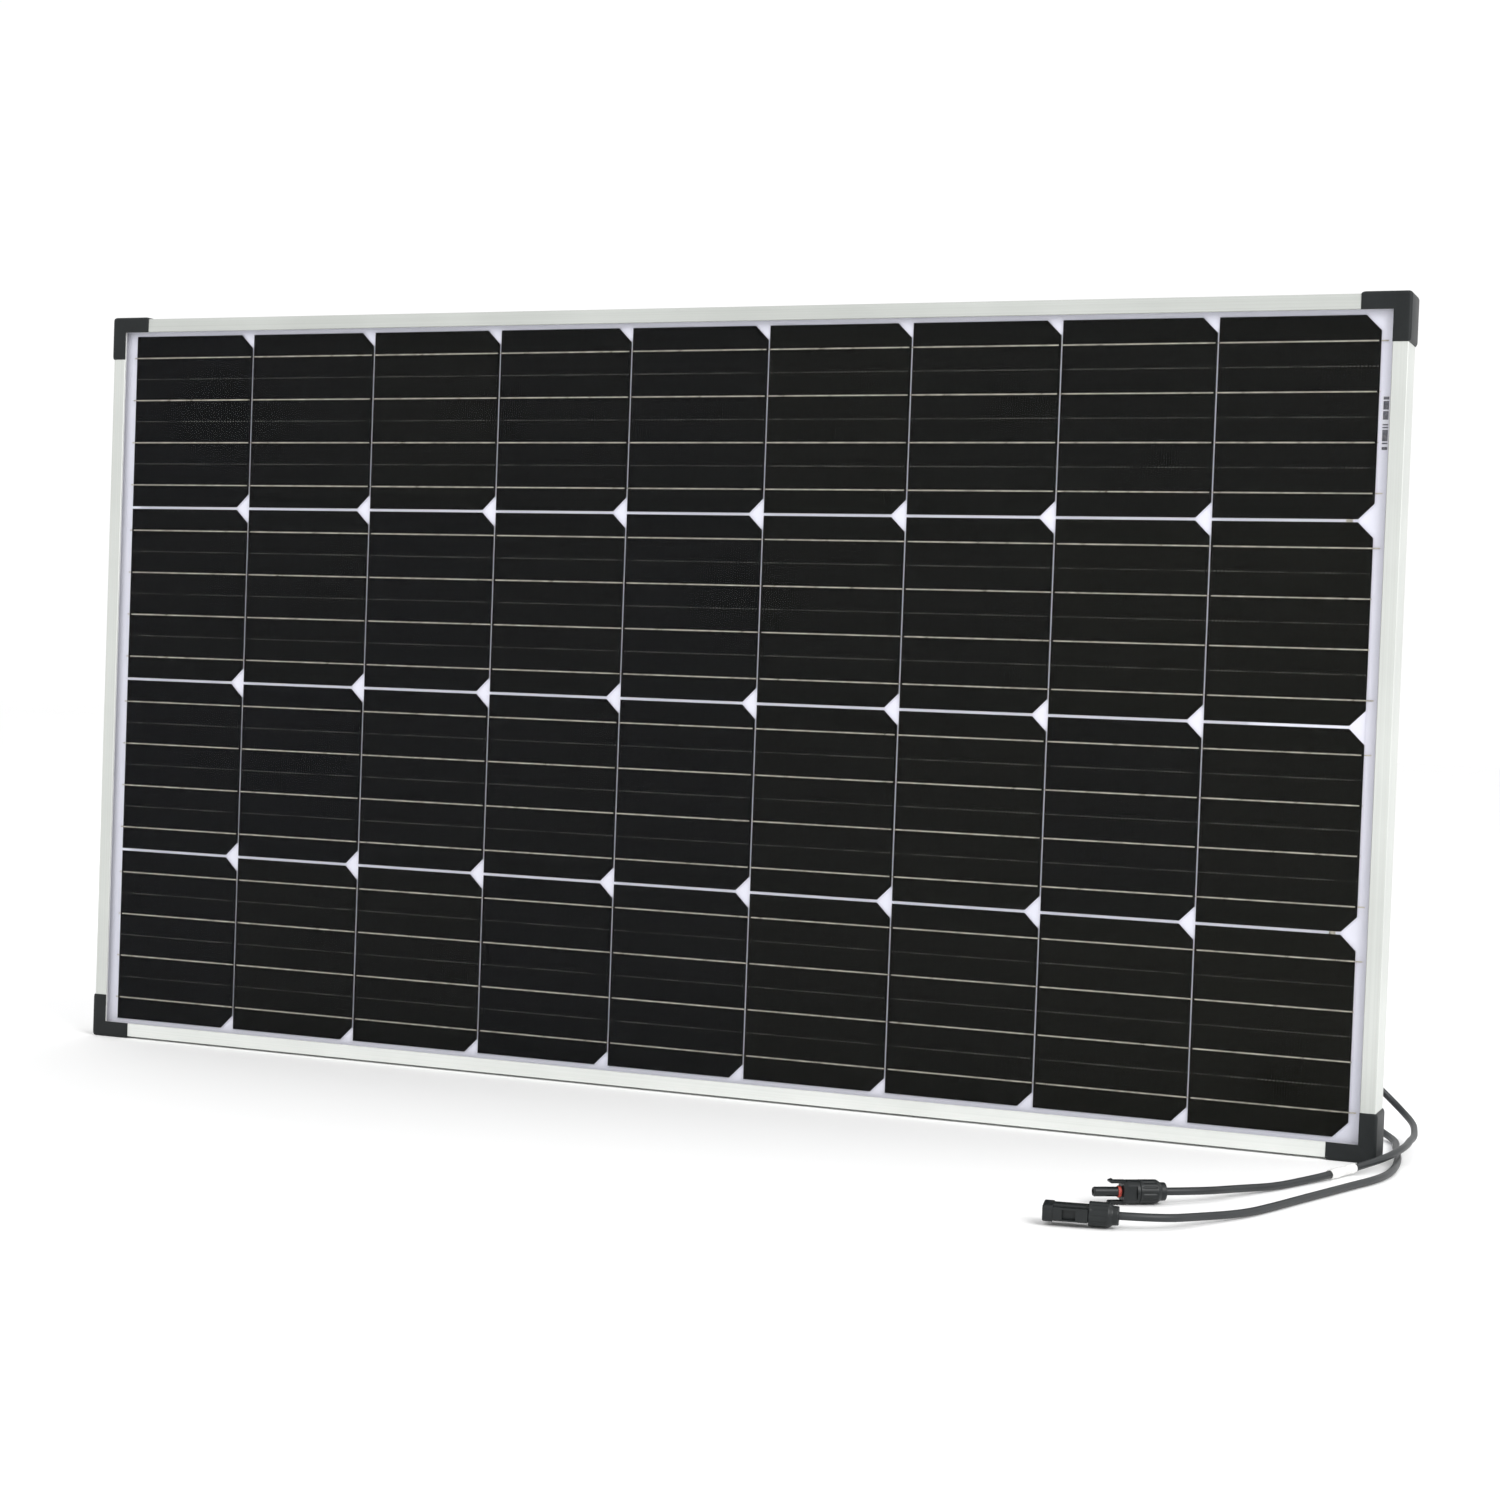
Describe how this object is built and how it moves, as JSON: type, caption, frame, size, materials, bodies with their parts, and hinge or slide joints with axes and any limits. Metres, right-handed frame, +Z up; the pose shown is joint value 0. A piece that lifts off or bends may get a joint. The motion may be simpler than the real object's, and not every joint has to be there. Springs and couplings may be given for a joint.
{
  "type": "framed solar panel",
  "caption": "Framed solar panel standing on a long edge, with black corner caps, cut cells behind glass, a rear junction box and two leads ending in a plug and a socket.",
  "frame": {"origin": "middle of the base, on the floor under the panel", "axes": "+X along the panel towards its junction box end, +Y out of its back, +Z up"},
  "size_m": [1.2043, 0.5155, 0.6686],
  "materials": {
    "anodised_aluminium": "satin pale anodised aluminium",
    "black_nylon": "fine-grained black nylon",
    "clear_glass": "low-iron tempered glass",
    "clear_encapsulant": "clear cured encapsulant",
    "monocrystalline_silicon": "dark blue-black coated silicon",
    "tinned_copper": "tinned copper ribbon",
    "white_backsheet": "white laminated backsheet",
    "white_sealant": "white silicone sealant",
    "white_label": "white label film",
    "black_box_plastic": "moulded black box plastic",
    "black_rubber": "black rubber",
    "red_rubber": "red silicone rubber",
    "stainless_steel": "stainless steel",
    "tinned_contact": "tin-plated copper contact",
    "copper_strands": "bare copper strands",
    "black_cable_jacket": "black cross-linked cable jacket",
    "diode_epoxy": "black moulded epoxy"
  },
  "bodies": {
    "panel": {"backsheet": "white_backsheet", "bus_ribbons": "tinned_copper", "bypass_diodes": "diode_epoxy", "cable_cores": "copper_strands", "cable_negative": "black_cable_jacket", "cable_positive": "black_cable_jacket", "cable_sleeve_label": "white_label", "cell_string_1": "monocrystalline_silicon", "cell_string_2": "monocrystalline_silicon", "cell_string_3": "monocrystalline_silicon", "cell_string_4": "monocrystalline_silicon", "corner_cap_bottom_left": "black_nylon", "corner_cap_bottom_right": "black_nylon", "corner_cap_top_left": "black_nylon", "corner_cap_top_right": "black_nylon", "corner_key_bottom_left": "anodised_aluminium", "corner_key_bottom_right": "anodised_aluminium", "corner_key_top_left": "anodised_aluminium", "corner_key_top_right": "anodised_aluminium", "frame_bar_bottom": "anodised_aluminium", "frame_bar_left": "anodised_aluminium", "frame_bar_right": "anodised_aluminium", "frame_bar_top": "anodised_aluminium", "front_encapsulant": "clear_encapsulant", "front_glass": "clear_glass", "glass_edge_seal": "white_sealant", "junction_box_adhesive": "white_sealant", "junction_box_base": "black_box_plastic", "lid_gasket": "black_rubber", "lid_hinge_pin": "stainless_steel", "plug_body": "black_nylon", "plug_contact": "tinned_contact", "plug_seal_ring": "red_rubber", "rating_label": "white_label", "rear_encapsulant": "clear_encapsulant", "serial_label": "white_label", "socket_body": "black_nylon", "socket_contact": "tinned_contact", "string_ribbons_1": "tinned_copper", "string_ribbons_2": "tinned_copper", "string_ribbons_3": "tinned_copper", "string_ribbons_4": "tinned_copper", "terminal_center": "tinned_contact", "terminal_negative": "tinned_contact", "terminal_positive": "tinned_contact"},
    "junction_box_cover": {"junction_box_lid": "black_box_plastic"},
    "plug_latch_upper": {"plug_latch_arm_upper": "black_nylon"},
    "plug_latch_lower": {"plug_latch_arm_lower": "black_nylon"},
    "box_gland_positive_seal": {"box_gland_seal_positive": "black_rubber"},
    "box_gland_positive_nut": {"box_gland_nut_positive": "black_nylon"},
    "box_gland_negative_seal": {"box_gland_seal_negative": "black_rubber"},
    "box_gland_negative_nut": {"box_gland_nut_negative": "black_nylon"},
    "plug_gland_seal": {"plug_cable_seal": "black_rubber"},
    "plug_gland_nut": {"plug_gland_nut": "black_nylon"},
    "socket_gland_seal": {"socket_cable_seal": "black_rubber"},
    "socket_gland_nut": {"socket_gland_nut": "black_nylon"}
  },
  "joints": [
    {"name": "lid_hinge", "type": "hinge", "parent": "panel", "child": "junction_box_cover", "pos_m": [0.5414, 0.0105, 0.3343], "axis": [0, 0, -1], "range_deg": [0, 110]},
    {"name": "box_gland_positive_travel", "type": "slide", "parent": "panel", "child": "box_gland_positive_seal", "axis": [-1, 0, 0], "range_m": [0, 0.0045]},
    {"name": "box_gland_positive_turn", "type": "hinge", "parent": "box_gland_positive_seal", "child": "box_gland_positive_nut", "pos_m": [0.4325, 0, 0.3583], "axis": [-1, 0, 0], "range_deg": [0, 1080]},
    {"name": "box_gland_negative_travel", "type": "slide", "parent": "panel", "child": "box_gland_negative_seal", "axis": [-1, 0, 0], "range_m": [0, 0.0045]},
    {"name": "box_gland_negative_turn", "type": "hinge", "parent": "box_gland_negative_seal", "child": "box_gland_negative_nut", "pos_m": [0.4325, 0, 0.3103], "axis": [-1, 0, 0], "range_deg": [0, 1080]},
    {"name": "plug_gland_travel", "type": "slide", "parent": "panel", "child": "plug_gland_seal", "axis": [0.8404, 0.5419, 0], "range_m": [0, 0.0045]},
    {"name": "plug_gland_turn", "type": "hinge", "parent": "plug_gland_seal", "child": "plug_gland_nut", "pos_m": [0.4849, -0.2634, 0.009], "axis": [0.8404, 0.5419, 0], "range_deg": [0, 1080]},
    {"name": "socket_gland_travel", "type": "slide", "parent": "panel", "child": "socket_gland_seal", "axis": [0.9858, 0.1678, 0], "range_m": [0, 0.0045]},
    {"name": "socket_gland_turn", "type": "hinge", "parent": "socket_gland_seal", "child": "socket_gland_nut", "pos_m": [0.4784, -0.3654, 0.009], "axis": [0.9858, 0.1678, 0], "range_deg": [0, 1080]},
    {"name": "latch_upper", "type": "hinge", "parent": "panel", "child": "plug_latch_upper", "pos_m": [0.45986, -0.27955, 0.0161], "axis": [0.5419, -0.8404, 0], "range_deg": [0, 5], "stiffness_Nm_per_rad": 0.8},
    {"name": "latch_lower", "type": "hinge", "parent": "panel", "child": "plug_latch_lower", "pos_m": [0.45986, -0.27955, 0.0019], "axis": [-0.5419, 0.8404, 0], "range_deg": [0, 5], "stiffness_Nm_per_rad": 0.8}
  ],
  "couplings": [
    {"joint": "box_gland_positive_travel", "follows": "box_gland_positive_turn", "m_per_rad": 0.00023873},
    {"joint": "box_gland_negative_travel", "follows": "box_gland_negative_turn", "m_per_rad": 0.00023873},
    {"joint": "plug_gland_travel", "follows": "plug_gland_turn", "m_per_rad": 0.00023873},
    {"joint": "socket_gland_travel", "follows": "socket_gland_turn", "m_per_rad": 0.00023873}
  ]
}
